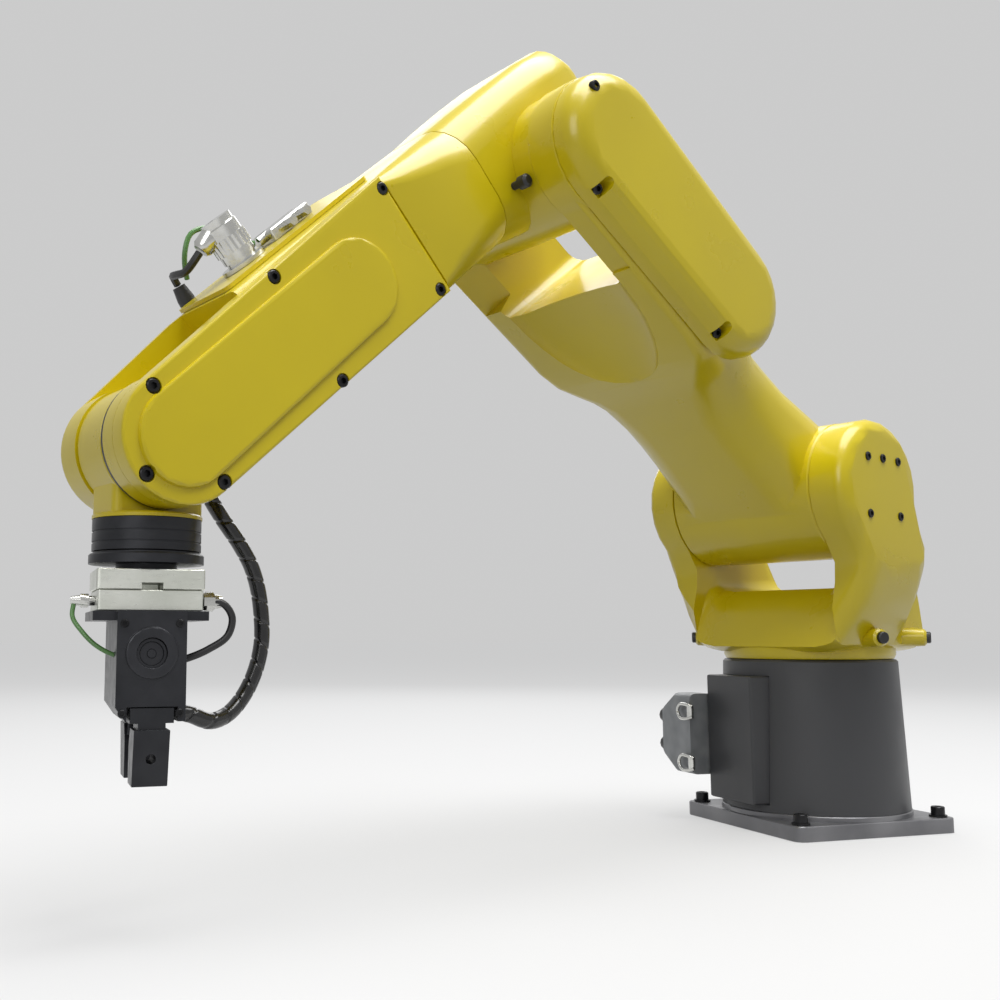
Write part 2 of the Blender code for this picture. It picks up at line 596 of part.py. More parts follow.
def make_elbow(frame, paint):
    """Casing that hangs in the fork on its round hub and carries the forearm in front."""
    sections = (
        (-CASING_REAR / MM, -46, 52, -22, 74, 26), (-72, -50, 57, -30, 82, 26), (-40, -51, 60, -34, 85, 26),
        (0, -51, 62, -40, 86, 28), (44, -51, 61, -30, 86, 32), (CASING_FRONT / MM, -51, 60, -21, 85, 36),
    )
    rings = []
    for x, far, near, low, high, corner in sections:
        outline = rounded_rectangle((far * MM, low * MM), (near * MM, high * MM), corner * MM, 6)
        rings.append(along("X", outline, x * MM))
    casing = add_object("elbow_casing", loft(rings), frame, paint["yellow"])
    hub = arc((0, 0), ELBOW_HUB_RADIUS, 0, 360 - 360 / 56, 56)
    change(casing, "UNION", cushion("Y", hub, CASING_FAR_FACE, ELBOW_HUB_FACE, 2 * MM, 1 * MM, 2))
    cap = rounded_rectangle((-38 * MM, -8 * MM), (44 * MM, 66 * MM), 20 * MM, 5)
    back = -CASING_REAR - SEAT_GAP
    add_object("elbow_rear_cover", cushion("X", cap, back - REAR_CAP_THICKNESS, back, 3 * MM, 0, 3),
               frame, paint["yellow"])
    low, high = KNOB_SPAN
    profile = ((low, KNOB_RADIUS * 0.6), (low + 8 * MM, KNOB_RADIUS * 0.6), (low + 8 * MM, KNOB_RADIUS),
               (high - 2 * MM, KNOB_RADIUS), (high, KNOB_RADIUS * 0.6))
    add_object("elbow_stop_knob", turned("Y", profile, KNOB_PLACE, 16), frame, paint["black_plastic"])


def make_forearm(frame, paint):
    """Rolling casting with a fork at its end, its flat near cover and the fittings on top."""
    wrist_x = FOREARM_LENGTH / MM
    sections = (
        (CASING_FRONT / MM + 1, -50, 60, -56, 50, 36), (108, -50, 60, -54, 50, 28), (140, -50, 57, -52, 50, 20),
        (165.9, -50, 53.5, -51, 50, 10), (166, -50, 40, -51, 50, 6),
        (wrist_x - 90, -50, 40, -48, 50, 6), (wrist_x, -50, 40, -43.7, 43.7, 6),
    )
    rings = []
    for x, far, near, low, high, corner in sections:
        outline = rounded_rectangle((far * MM, low * MM), (near * MM, high * MM), corner * MM, 6)
        rings.append(along("X", outline, x * MM))
    forearm = add_object("forearm_casting", loft(rings), frame, paint["yellow"])
    wrist = (FOREARM_LENGTH, 0)
    gap = stadium(wrist, WRIST_GAP_RADIUS, (FOREARM_LENGTH + 90 * MM, 0), WRIST_GAP_RADIUS + 1 * MM, 16)
    change(forearm, "DIFFERENCE", cushion("Y", gap, WRIST_GAP_FAR, WRIST_GAP_NEAR))
    for side in (1, -1):
        heights = sorted((side * NOTCH_CORE, side * 70 * MM))
        change(forearm, "DIFFERENCE", block((NOTCH_BACK, -NOTCH_HALF_WIDTH, heights[0]),
                                            (NOTCH_FRONT, NOTCH_HALF_WIDTH, heights[1])))
    end = arc(wrist, WRIST_END_RADIUS, 0, 360 - 360 / 56, 56)
    change(forearm, "UNION", cushion("Y", end, FOREARM_FAR_FACE, WRIST_GAP_FAR, 6 * MM, 0, 4))
    change(forearm, "UNION", cushion("Y", end, WRIST_GAP_NEAR, FOREARM_NEAR_WALL))
    make_forearm_cover(frame, paint)
    make_seal(frame, paint)
    make_service_fittings(frame, paint)


def make_forearm_cover(frame, paint):
    """Flat cover from the casting to the wrist, with a raised panel and recessed screw holes."""
    wrist = (FOREARM_LENGTH, 0)
    half = FOREARM_COVER_HALF
    lean = atan((half - WRIST_END_RADIUS) / (FOREARM_LENGTH - COVER_BACK))
    nose = arc(wrist, WRIST_END_RADIUS, -90 + degrees(lean), 90 - degrees(lean), 24)
    tail = np.array(((COVER_BACK, half), (COVER_BACK, half / 3), (COVER_BACK, -half / 3), (COVER_BACK, -half)))
    outline = np.vstack((nose, tail))
    shape = cushion("Y", outline, FOREARM_NEAR_WALL + SEAT_GAP, FOREARM_COVER_FACE, 0, FOREARM_COVER_EDGE, 3)
    cover = add_object("forearm_near_cover", shape, frame, paint["yellow"])
    panel = stadium(wrist, PANEL_RADIUS, (PANEL_BACK, 0), PANEL_RADIUS, 14)
    change(cover, "UNION", cushion("Y", panel, FOREARM_COVER_FACE - 5 * MM, FOREARM_COVER_FACE + PANEL_HEIGHT,
                                   0, PANEL_HEIGHT - 0.5 * MM, 3))
    for x, z in SCREW_PLACES:
        recess = ((FOREARM_COVER_FACE - SCREW_RECESS_DEPTH, SCREW_RECESS_RADIUS),
                  (FOREARM_COVER_FACE + 2 * PANEL_HEIGHT, SCREW_RECESS_RADIUS))
        change(cover, "DIFFERENCE", turned("Y", recess, (x * MM, z * MM), 16))


def make_seal(frame, paint):
    """Black sealing ring between the near prong and the wrist."""
    high = WRIST_GAP_NEAR - SEAT_GAP
    low = high - SEAL_THICKNESS
    ring = arc((FOREARM_LENGTH, 0), SEAL_RADIUS, 0, 360 - 360 / 48, 48)
    add_object("wrist_seal_ring", cushion("Y", ring, low, high, 1 * MM, 0, 2), frame, paint["black_plastic"])


def make_service_fittings(frame, paint):
    """Plate on top of the forearm with the round plug, the air manifold and their short lines."""
    seat = FOREARM_TOP + SEAT_GAP
    back, front = SERVICE_PLATE
    far, near = SERVICE_PLATE_SIDES
    face = rounded_rectangle((back, far), (front, near), 5 * MM)
    plate_top = seat + SERVICE_PLATE_THICKNESS
    add_object("service_plate", cushion("Z", face, seat, plate_top), frame, paint["yellow"])
    low = plate_top + SEAT_GAP
    high = low + PLUG_HEIGHT
    radius = PLUG_RADIUS
    profile = ((low, radius * 1.35), (low + 3 * MM, radius * 1.35), (low + 3 * MM, radius * 0.9),
               (low + 6 * MM, radius * 0.9), (low + 6 * MM, radius), (high - 6 * MM, radius),
               (high - 5 * MM, radius * 0.92), (high, radius * 0.92))
    plug = add_object("round_plug", turned("Z", profile, PLUG_PLACE, 20), frame, paint["steel"])
    profile = ((0, radius * 0.5), (8 * MM, radius * 0.62), (20 * MM, radius * 0.58), (23 * MM, radius * 0.42))
    shell = turned("X", profile, steps=16)
    change(plug, "UNION", aimed(shell, (1, -0.3, -0.3), (*PLUG_PLACE, high - 6 * MM)))
    start, end = MANIFOLD_SPAN
    bar = rounded_rectangle((start, MANIFOLD_SIDES[0]), (end, MANIFOLD_SIDES[1]), 2 * MM)
    bar = cushion("Z", bar, low, low + MANIFOLD_HEIGHT, 0, 1 * MM, 2)
    manifold = add_object("air_manifold", bar, frame, paint["steel"])
    middle = low + MANIFOLD_HEIGHT / 2
    for share in (0.25, 0.62):
        x = MANIFOLD_SPAN[0] + share * (MANIFOLD_SPAN[1] - MANIFOLD_SPAN[0])
        nut = turned("Y", ((MANIFOLD_SIDES[1] - 2 * MM, 4 * MM), (MANIFOLD_SIDES[1] + 9 * MM, 4 * MM)), (x, middle), 6)
        change(manifold, "UNION", nut)
    elbow = turned("X", ((MANIFOLD_SPAN[1] - 3 * MM, 4 * MM), (MANIFOLD_SPAN[1] + 8 * MM, 4 * MM)),
                   (sum(MANIFOLD_SIDES) / 2, middle + 1.5 * MM), 12)
    change(manifold, "UNION", elbow)
    boot = turned("X", ((0, 5 * MM), (10 * MM, 6.8 * MM), (20 * MM, 6.8 * MM)), steps=14)
    add_object("hose_boot", aimed(boot, BOOT_HEADING, BOOT_PLACE), frame, paint["black_plastic"])


BOOT_PLACE = (294 * MM, -57.2 * MM, 66 * MM)
BOOT_HEADING = (0.1, -0.02, -1.0)


def make_wrist(frame, paint):
    """Wrist that nods between the prongs, and the black ring stack below it."""
    hub = arc((0, 0), WRIST_HUB_RADIUS, 0, 360 - 360 / 48, 48)
    wrist = add_object("wrist_housing", cushion("Y", hub, -WRIST_HALF_WIDTH, WRIST_HALF_WIDTH, 1.5 * MM, 1.5 * MM, 2),
                       frame, paint["yellow"])
    low, high = WRIST_RIM
    neck = rounded_rectangle((-WRIST_HALF_WIDTH, -32 * MM), (WRIST_HALF_WIDTH, 32 * MM), 6 * MM)
    change(wrist, "UNION", cushion("X", neck, 10 * MM, high - 1 * MM))
    change(wrist, "UNION", turned("X", ((low, WRIST_RIM_RADIUS - 1 * MM), (low + 1 * MM, WRIST_RIM_RADIUS),
                                        (high, WRIST_RIM_RADIUS)), steps=48))
    profile = [(high + SEAT_GAP, STACK_RADIUS)]
    for groove in (57 * MM, 64 * MM):
        profile += [(groove, STACK_RADIUS), (groove, STACK_RADIUS - GROOVE_DEPTH),
                    (groove + GROOVE_WIDTH, STACK_RADIUS - GROOVE_DEPTH), (groove + GROOVE_WIDTH, STACK_RADIUS)]
    profile.append((STACK_END, STACK_RADIUS))
    add_object("wrist_ring_stack", turned("X", profile, steps=32), frame, paint["black_metal"])


def make_gripper(frame, paint):
    """Tool flange, two adapter plates, the gripper body and what is screwed to it."""
    start = STACK_END + JOINT_GAP
    upper = FLANGE_DISTANCE + 2.6 * MM
    profile = ((start, STACK_RADIUS - GROOVE_DEPTH), (start + 1 * MM, STACK_RADIUS - GROOVE_DEPTH),
               (start + 1 * MM, FLANGE_RIM_RADIUS - 0.8 * MM), (start + 2 * MM, FLANGE_RIM_RADIUS),
               (FLANGE_FACE, FLANGE_RIM_RADIUS), (FLANGE_FACE, BOSS_RADIUS), (upper - SEAT_GAP, BOSS_RADIUS))
    add_object("tool_flange", turned("X", profile, steps=32), frame, paint["black_metal"])
    square = rounded_rectangle((-PLATE_HALF_WIDTH, -PLATE_HALF_WIDTH), (PLATE_HALF_WIDTH, PLATE_HALF_WIDTH), 3 * MM, 3)
    middle = upper + UPPER_PLATE_THICKNESS
    plate = add_object("adapter_plate_upper", cushion("X", square, upper, middle), frame, paint["aluminium"])
    change(plate, "DIFFERENCE", block((middle - 4 * MM, PLATE_HALF_WIDTH - 20 * MM, -7 * MM),
                                      (middle + 4 * MM, PLATE_HALF_WIDTH + 4 * MM, 6 * MM)))
    square = rounded_rectangle((-LOWER_PLATE_HALF, -LOWER_PLATE_HALF), (LOWER_PLATE_HALF, LOWER_PLATE_HALF), 2 * MM, 3)
    low = middle + SEAT_GAP
    high = low + LOWER_PLATE_THICKNESS
    add_object("adapter_plate_lower", cushion("X", square, low, high), frame, paint["aluminium"])
    make_gripper_body(frame, paint, high + SEAT_GAP)
    make_side_fittings(frame, paint, (low + high) / 2)


def make_gripper_body(frame, paint, top):
    """Deep black body with a lug at each top corner, chamfered foot, a piston port and a jaw channel."""
    foot = top + BODY_LENGTH
    low, edge = BODY_HALF_WIDTH, BODY_CHAMFER
    outline = np.array(((top, -low), (foot, -low), (foot, low - edge * 0.7), (foot - edge, low), (top, low)))
    rings = [np.column_stack((outline[:, 0], np.full(len(outline), y), outline[:, 1]))
             for y in (-BODY_HALF_DEPTH, BODY_HALF_DEPTH)]
    body = add_object("gripper_body", loft(rings), frame, paint["black_metal"])
    for side in (1, -1):
        lug = block((top, -BODY_HALF_DEPTH + 6 * MM, side * 27 * MM - 9 * MM),
                    (top + 6 * MM, BODY_HALF_DEPTH - 6 * MM, side * 27 * MM + 9 * MM))
        change(body, "UNION", lug)
    port = (top + 26 * MM, 0)
    ring = ((BODY_HALF_DEPTH - 4 * MM, PORT_RADIUS), (BODY_HALF_DEPTH + 1.5 * MM, PORT_RADIUS),
            (BODY_HALF_DEPTH + 2 * MM, PORT_RADIUS - 1 * MM))
    change(body, "UNION", turned("Y", ring, port, 32))
    bore = ((BODY_HALF_DEPTH - 3 * MM, PORT_BORE), (BODY_HALF_DEPTH + 4 * MM, PORT_BORE))
    change(body, "DIFFERENCE", turned("Y", bore, port, 24))
    channel = block((foot - RAIL_DEPTH, -BODY_HALF_DEPTH - 5 * MM, -FINGER_BASE_HALF - 3 * MM),
                    (foot + 5 * MM, BODY_HALF_DEPTH + 5 * MM, FINGER_BASE_HALF + 1 * MM))
    change(body, "DIFFERENCE", channel)


def make_side_fittings(frame, paint, level):
    """Air fittings screwed into the two sides of the lower adapter plate."""
    for name, side, size in (("left", 1, 4.5 * MM), ("right", -1, 6.5 * MM)):
        start = side * (LOWER_PLATE_HALF + SEAT_GAP)
        profile = [(start, size * 0.7), (start + side * 4 * MM, size * 0.7), (start + side * 4 * MM, size),
                   (start + side * 9 * MM, size), (start + side * 9 * MM, size * 0.8), (start + side * 15 * MM, size * 0.6)]
        add_object(f"{name}_air_fitting", turned("Z", profile, (level, 12 * MM), 12), frame, paint["steel"])


def make_finger(name, side, frame, paint):
    """One jaw: foot in the body's channel, neck and a tapered gripping block with a hole."""
    top = FLANGE_DISTANCE + 2.6 * MM + UPPER_PLATE_THICKNESS + LOWER_PLATE_THICKNESS + 2 * SEAT_GAP + BODY_LENGTH
    root = top - RAIL_DEPTH + SEAT_GAP
    middle = -1 * MM
    outer = side * (FINGER_OUTER - 3 * MM)
    inner = side * (FINGER_INNER + 2 * MM)
    rail = block((root, min(inner, outer), middle - FINGER_BASE_HALF), (top + 1 * MM, max(inner, outer), middle + FINGER_BASE_HALF))
    finger = add_object(name, rail, frame, paint["black_metal"])
    neck = block((root + 4 * MM, min(inner, outer), middle - FINGER_NECK_HALF),
                 (top + 12 * MM, max(inner, outer), middle + FINGER_NECK_HALF))
    change(finger, "UNION", neck)
    outline = np.array(((top + 5 * MM, side * 20 * MM), (top + 5 * MM, side * FINGER_OUTER),
                        (FINGER_END, side * (FINGER_OUTER - 9 * MM)), (FINGER_END, side * FINGER_INNER),
                        (top + 16 * MM, side * FINGER_INNER)))
    rings = [np.column_stack((outline, np.full(len(outline), middle + z)))
             for z in (-FINGER_BLOCK_HALF, FINGER_BLOCK_HALF)]
    change(finger, "UNION", loft(rings))
    hole = ((side * (FINGER_INNER - 5 * MM), FINGER_HOLE_RADIUS), (side * (FINGER_OUTER + 5 * MM), FINGER_HOLE_RADIUS))
    change(finger, "DIFFERENCE", turned("Y", hole, (FINGER_END - 17 * MM, middle), 16))


# Routes, each a list of points in millimetres: the hose in the turret's frame, the others in the forearm's
HOSE_ROUTE = (
    (685, -58, 431), (676, -60.5, 408), (672, -62, 378), (672, -62.5, 347), (677, -58.5, 319), (677, -50, 296),
    (668, -42, 275), (656, -38, 257), (647, -36, 241), (642, -35, 226), (639, -34, 206), (639, -33, 185),
    (644, -32, 166), (656, -30, 146), (673, -24, 134), (690, -18, 131.5), (704, -18.5, 136.5), (714.8, -21.8, 138.8),
)
PLUG_CABLE_ROUTE = (
    (285.5, -19.8, 78.9), (291, -21.8, 76.8), (298, -30, 73.5), (299, -43, 75), (294.8, -54.5, 73.5), (294.2, -57, 67.4),
)
FRONT_TUBE_ROUTE = (
    (244, -14.5, 60.5), (247.5, -17.5, 63), (247, -28, 73), (253, -40, 88), (267, -43, 92), (279, -44, 85),
    (286, -47, 75), (288, -51, 67),
)


def make_lines(turret, forearm, paint):
    """The spiral-wrapped hose to the gripper, the plug's cable and a short air tube."""
    tube("spiral_hose", HOSE_ROUTE, HOSE_RADIUS, turret, paint["black_plastic"], 3, 48)
    tube("plug_cable", PLUG_CABLE_ROUTE, CABLE_RADIUS, forearm, paint["black_plastic"], 2, 16)
    tube("air_tube", FRONT_TUBE_ROUTE, TUBE_RADIUS, forearm, paint["green"], 2, 24)


def finishes():
    """One plain material for each kind of surface."""
    return {
        "yellow": material("yellow_paint", YELLOW, 0.32),
        "pedestal": material("dark_grey_paint", (0.045, 0.046, 0.050), 0.45),
        "plate": material("grey_plate", (0.16, 0.16, 0.17), 0.4, 0.6),
        "black_steel": material("black_steel", (0.02, 0.02, 0.022), 0.35, 0.6),
        "black_plastic": material("black_plastic", (0.012, 0.012, 0.013), 0.4),
        "black_metal": material("black_anodised", (0.022, 0.023, 0.027), 0.35, 0.5),
        "grey_metal": material("cast_grey", (0.22, 0.23, 0.24), 0.45, 0.4),
        "steel": material("bright_steel", (0.55, 0.55, 0.53), 0.25, 1.0),
        "aluminium": material("machined_aluminium", (0.72, 0.73, 0.68), 0.35, 0.9),
        "green": material("green_tube", (0.10, 0.22, 0.06), 0.35),
    }


def build():
    """Set up the chain of joint frames and model each body in its own frame."""
    clear_scene()
    paint = finishes()
    base = joint_frame("base_frame", None, (0, 0, 0))
    turret = joint_frame("waist_frame", base, (0, 0, 0), "Z", WAIST_TURN)
    shoulder = joint_frame("shoulder_frame", turret, (SHOULDER_OFFSET, 0, SHOULDER_HEIGHT), "Y", SHOULDER_LEAN)
    elbow = joint_frame("elbow_frame", shoulder, (0, 0, UPPER_ARM_LENGTH), "Y", FOREARM_DROP - SHOULDER_LEAN)
    forearm = joint_frame("forearm_frame", elbow, (0, 0, ELBOW_OFFSET))
    wrist = joint_frame("wrist_frame", forearm, (FOREARM_LENGTH, 0, 0), "Y", WRIST_DROP - FOREARM_DROP)
    tool = joint_frame("tool_frame", wrist, (0, 0, 0), "X", GRIPPER_TURN)
    make_base(base, paint)
    make_turret(turret, paint)
    make_upper_arm(shoulder, paint)
    make_elbow(elbow, paint)
    make_forearm(forearm, paint)
    make_wrist(wrist, paint)
    make_gripper(tool, paint)
    make_finger("finger_near", 1, tool, paint)
    make_finger("finger_far", -1, tool, paint)
    make_lines(turret, forearm, paint)


build()
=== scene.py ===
"""Looks for the compact six-axis robot arm: paints, metals, screws and the wrapped hose."""

import json
from math import cos, pi, radians, sin

import bmesh
import bpy
import numpy as np
from mathutils import Euler, Matrix, Vector


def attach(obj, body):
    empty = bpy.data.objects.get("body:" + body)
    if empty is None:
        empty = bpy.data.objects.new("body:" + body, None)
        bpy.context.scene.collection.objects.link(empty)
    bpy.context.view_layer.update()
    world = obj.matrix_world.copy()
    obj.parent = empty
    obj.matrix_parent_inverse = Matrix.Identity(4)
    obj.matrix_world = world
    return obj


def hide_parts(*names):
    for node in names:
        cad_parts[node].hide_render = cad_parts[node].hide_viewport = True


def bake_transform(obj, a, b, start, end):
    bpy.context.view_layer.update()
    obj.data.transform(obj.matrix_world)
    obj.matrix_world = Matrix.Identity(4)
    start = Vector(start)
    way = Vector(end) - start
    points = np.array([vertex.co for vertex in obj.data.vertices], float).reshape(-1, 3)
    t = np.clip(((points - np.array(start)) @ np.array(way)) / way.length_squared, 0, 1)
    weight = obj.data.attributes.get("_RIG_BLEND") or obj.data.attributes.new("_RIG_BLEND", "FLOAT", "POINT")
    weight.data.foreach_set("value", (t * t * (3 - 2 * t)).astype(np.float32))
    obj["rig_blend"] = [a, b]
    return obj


MM = 0.001

# The arm's axes, as in part.py
SHOULDER_OFFSET = 50 * MM
SHOULDER_HEIGHT = 330 * MM
UPPER_ARM_LENGTH = 440 * MM
ELBOW_OFFSET = 35 * MM
FOREARM_LENGTH = 420 * MM
WAIST_TURN = -161.3
SHOULDER_LEAN = 56.2
FOREARM_DROP = 42.9
WRIST_DROP = 90.0
GRIPPER_TURN = 18.7

# Camera, placed in the turret's frame, with its optical centre left of the picture's middle
EYE = (1069.8 * MM, 692.2 * MM, 190.1 * MM)
VIEW_YAW = -126.4
VIEW_PITCH = 6.8
LENS = 40.87
SENSOR = 36.0
SHIFT_X = 0.1246

# Screws and plugs on the forearm's cover: (x, z) in mm in the forearm's frame
COVER_SCREWS = ((171, 41.5), (295, 42), (417, 37.5), (457, -1), (418, -38.5), (297, -43.5), (176, -44))
COVER_SCREW_HEAD = (4.6 * MM, 3.8 * MM)
COVER_FACE = 54.5 * MM
COVER_RECESS = 3.5 * MM
COVER_SCREW_LIFT = 0.1 * MM
COVER_PLUGS = ((397, 30.5), (398, -31))
COVER_PLUG_PROFILE = ((-0.3, 0), (-0.3, 1.3), (0.15, 1.3), (0.15, 0))

# Screws on the near cheek: (x, z) in mm in the turret's frame
CHEEK_SCREWS = ((75, 357), (49.5, 357), (23, 356), (75.5, 303), (23, 303))
CHEEK_SCREW_HEAD = (4.2 * MM, 1.7 * MM)
CHEEK_FACE = 120 * MM
CHEEK_SCREW_SINK = 0.2 * MM

# Screws on the near arm cover: (x, z, y) in mm in the shoulder's frame, leaning past its front edge
ARM_COVER_SCREWS = ((49, 433, 118.5), (46, 266, 118.5), (-8, 484, 128), (0, 232, 101))
ARM_COVER_SCREW_HEAD = (4.4 * MM, 4 * MM)
ARM_COVER_EDGE = 9
ARM_COVER_LEAN = 0.25

# Screws on the gripper: (x, z) in mm in the tool's frame
GRIPPER_SCREWS = ((117, 17), (117, -17), (172, 17.5), (172, -17.5))
GRIPPER_SCREW_HEAD = (2.6 * MM, 1.6 * MM)
GRIPPER_SCREW_SEAT = 42.7 * MM

# A cap screw's chamfer and socket by its head's radius, its socket's floor by its head's height
SCREW_CHAMFER = 0.16
SCREW_SOCKET = 0.52
SCREW_SOCKET_FLOOR = 0.35
SCREW_STEPS = 24

# Tips of the turret's stops
STOP_AZIMUTHS = (69.0, 117.0, -52.0)
STOP_REACH = 112 * MM
STOP_HEIGHT = 188 * MM
STOP_TIP_PROFILE = ((-1, 0), (-1, 5.7), (3, 5.7), (4, 4.7), (4, 0))

# Small pieces on the gripper: routes in mm in the tool's frame, profiles of (height, radius) in mm
PORT_PLACE = (135.6 * MM, 39.6 * MM, 0)
PISTON_RING_PROFILE = (
    (0.2, 0), (0.2, 9.2), (2.6, 9.2), (2.6, 7.6), (1.2, 7.0), (1.2, 3.0), (2.0, 2.6), (2.0, 0),
)
SENSOR_LEAD_ROUTE = (
    (103, 28, -36), (104, 29, -46), (112, 29, -52), (124, 28, -50), (133, 27, -38), (139, 26, -24),
    (141, 25, -17),
)
SENSOR_LEAD_RADIUS = 2.4 * MM
SENSOR_NUT_PLACE = (103 * MM, 28 * MM, -33.5 * MM)
SENSOR_NUT_PROFILE = ((0, 0), (0, 5.4), (7, 5.4), (7, 3.2), (10, 3.2), (10, 0))
GRIPPER_TUBE_ROUTE = (
    (103, 12, 46), (112, 14, 47), (122, 18, 41), (131, 22, 32), (136, 24, 23), (138, 24, 17),
)
GRIPPER_TUBE_RADIUS = 1.5 * MM

# Coupling ring of the plug on the forearm, its profile of (height, radius) in mm
PLUG_RING_PLACE = (263 * MM, -13 * MM, 66 * MM)
PLUG_RING_PROFILE = ((0, 13.0), (0, 14.4), (11, 14.4), (11, 13.0), (0, 13.0))
PLUG_RING_RIBS = 24
PLUG_RING_RIB_DEPTH = 0.025

# The wrapped hose, its route in mm in the turret's frame
HOSE_RADIUS = 5.8 * MM
WRAP_PITCH = 16 * MM
WRAP_GROOVE = 0.8 * MM
WRAP_GAP = 0.08
HOSE_ROWS = 560
HOSE_COLUMNS = 36
HOSE_ROUTE = (
    (685, -58, 431), (676, -60.5, 408), (672, -62, 378), (672, -62.5, 347), (677, -58.5, 319),
    (677, -50, 296), (668, -42, 275), (656, -38, 257), (647, -36, 241), (642, -35, 226), (639, -34, 206),
    (639, -33, 185), (644, -32, 166), (656, -30, 146), (673, -24, 134), (690, -18, 131.5),
    (704, -18.5, 136.5), (714.8, -21.8, 138.8),
)

# Shading and merging of the CAD shapes and of the skins made here
SHARP_ANGLE = 38
SKIN_SHARP_ANGLE = 40
SHELL_MERGE = 0.005 * MM
SKIN_MERGE = 0.002 * MM
SOFT_EDGES = {
    "adapter_plate_upper": 0.7 * MM, "adapter_plate_lower": 0.7 * MM, "gripper_body": 0.6 * MM,
    "finger_near": 0.6 * MM, "finger_far": 0.6 * MM,
}

# Latches between the connector box and its hood, in the base's frame
LATCH_FACE = -121.5 * MM
LATCH_HEIGHTS = (60 * MM, 112 * MM)
LATCH_SPAN = (30 * MM, 54 * MM)
LATCH_LIFT = 3 * MM
LATCH_ROD_RADIUS = 1.8 * MM
LATCH_PIN_PROFILE = ((-6, 0), (-6, 3.4), (6, 3.4), (6, 0))

# Near prong's bevel that the photograph lacks: faces and corner in the shoulder's frame
BEVEL_FACE = 81 * MM
BEVEL_BACK = 31.5 * MM
BEVEL_SLOPE = 22 / 25
BEVEL_HEIGHTS = (359 * MM, 485 * MM)
BEVEL_OVERLAP = 1 * MM
BEVEL_ROWS = 64
PROBE_START = 0.2
PROBE_DEPTH = 104 * MM

# Paint: gloss of a clear coat, and the middle of a noise that is mapped to a range
COAT_ROUGHNESS = 0.08
NOISE_MIDDLE = (0.3, 0.7)

# Stage, with each lamp's name, place, target, size in metres and power in watts
FLOOR_SIZE = 60.0
FLOOR_HEIGHT = -0.5 * MM
FLOOR_COLOUR = (0.30, 0.30, 0.30)
FLOOR_ROUGHNESS = 0.8
FLOOR_GLOW = (0.52, 0.52, 0.52, 1.0)
BACKDROP_COLOUR = (0.60, 0.60, 0.60, 1.0)
SKY_COLOUR = (0.97, 0.98, 1.0, 1.0)
SKY_STRENGTH = 0.27
LAMPS = (
    ("overhead", (0.0, -0.5, 2.6), (-0.3, -0.1, 0.3), 2.0, 88),
    ("camera_side", (-1.9, -1.9, 1.3), (-0.35, -0.1, 0.35), 1.2, 15),
    ("back_side", (0.6, 2.2, 1.8), (-0.3, 0, 0.4), 1.6, 18),
)


def turn(axis, angle):
    """Rotation about one axis, in degrees."""
    return Matrix.Rotation(radians(angle), 4, axis)


WAIST = turn("Z", WAIST_TURN)
SHOULDER = WAIST @ Matrix.Translation((SHOULDER_OFFSET, 0, SHOULDER_HEIGHT)) @ turn("Y", SHOULDER_LEAN)
ELBOW = SHOULDER @ Matrix.Translation((0, 0, UPPER_ARM_LENGTH)) @ turn("Y", FOREARM_DROP - SHOULDER_LEAN)
FOREARM = ELBOW @ Matrix.Translation((0, 0, ELBOW_OFFSET))
WRIST = FOREARM @ Matrix.Translation((FOREARM_LENGTH, 0, 0)) @ turn("Y", WRIST_DROP - FOREARM_DROP)
TOOL = WRIST @ turn("X", GRIPPER_TURN)


# ---------------------------------------------------------------- materials

def principled(name, colour, roughness, metallic=0.0, coat=0.0):
    """A material with its constant values set on the shader itself."""
    finish = bpy.data.materials.new(name)
    finish.use_nodes = True
    shader = finish.node_tree.nodes["Principled BSDF"]
    shader.inputs["Base Color"].default_value = (*colour, 1.0)
    shader.inputs["Roughness"].default_value = roughness
    shader.inputs["Metallic"].default_value = metallic
    shader.inputs["Coat Weight"].default_value = coat
    shader.inputs["Coat Roughness"].default_value = COAT_ROUGHNESS
    return finish, shader


def noise(tree, scale, detail=4.0, stretch=(1.0, 1.0, 1.0)):
    """Noise on object coordinates, with a stretch along each axis."""
    place = tree.nodes.new("ShaderNodeTexCoord")
    mapping = tree.nodes.new("ShaderNodeMapping")
    mapping.inputs["Scale"].default_value = stretch
    tree.links.new(place.outputs["Object"], mapping.inputs["Vector"])
    texture = tree.nodes.new("ShaderNodeTexNoise")
    texture.inputs["Scale"].default_value = scale
    texture.inputs["Detail"].default_value = detail
    tree.links.new(mapping.outputs["Vector"], texture.inputs["Vector"])
    return texture.outputs["Fac"]


def spread(tree, value, low, high):
    """Map the middle of a noise to a range."""
    span = tree.nodes.new("ShaderNodeMapRange")
    span.inputs["From Min"].default_value, span.inputs["From Max"].default_value = NOISE_MIDDLE
    span.inputs["To Min"].default_value = low
    span.inputs["To Max"].default_value = high
    tree.links.new(value, span.inputs["Value"])
    return span.outputs["Result"]


def mottled(tree, shader, value, dark, light):
    """Mix two close colours by a noise."""
    mix = tree.nodes.new("ShaderNodeMix")
    mix.data_type = "RGBA"
    mix.inputs["A"].default_value = (*dark, 1.0)
    mix.inputs["B"].default_value = (*light, 1.0)
    tree.links.new(spread(tree, value, 0.0, 1.0), mix.inputs["Factor"])
    tree.links.new(mix.outputs["Result"], shader.inputs["Base Color"])


def bumped(tree, shader, value, strength, distance):
    """Bump the surface by a noise."""
    bump = tree.nodes.new("ShaderNodeBump")
    bump.inputs["Strength"].default_value = strength
    bump.inputs["Distance"].default_value = distance
    tree.links.new(value, bump.inputs["Height"])
    tree.links.new(bump.outputs["Normal"], shader.inputs["Normal"])


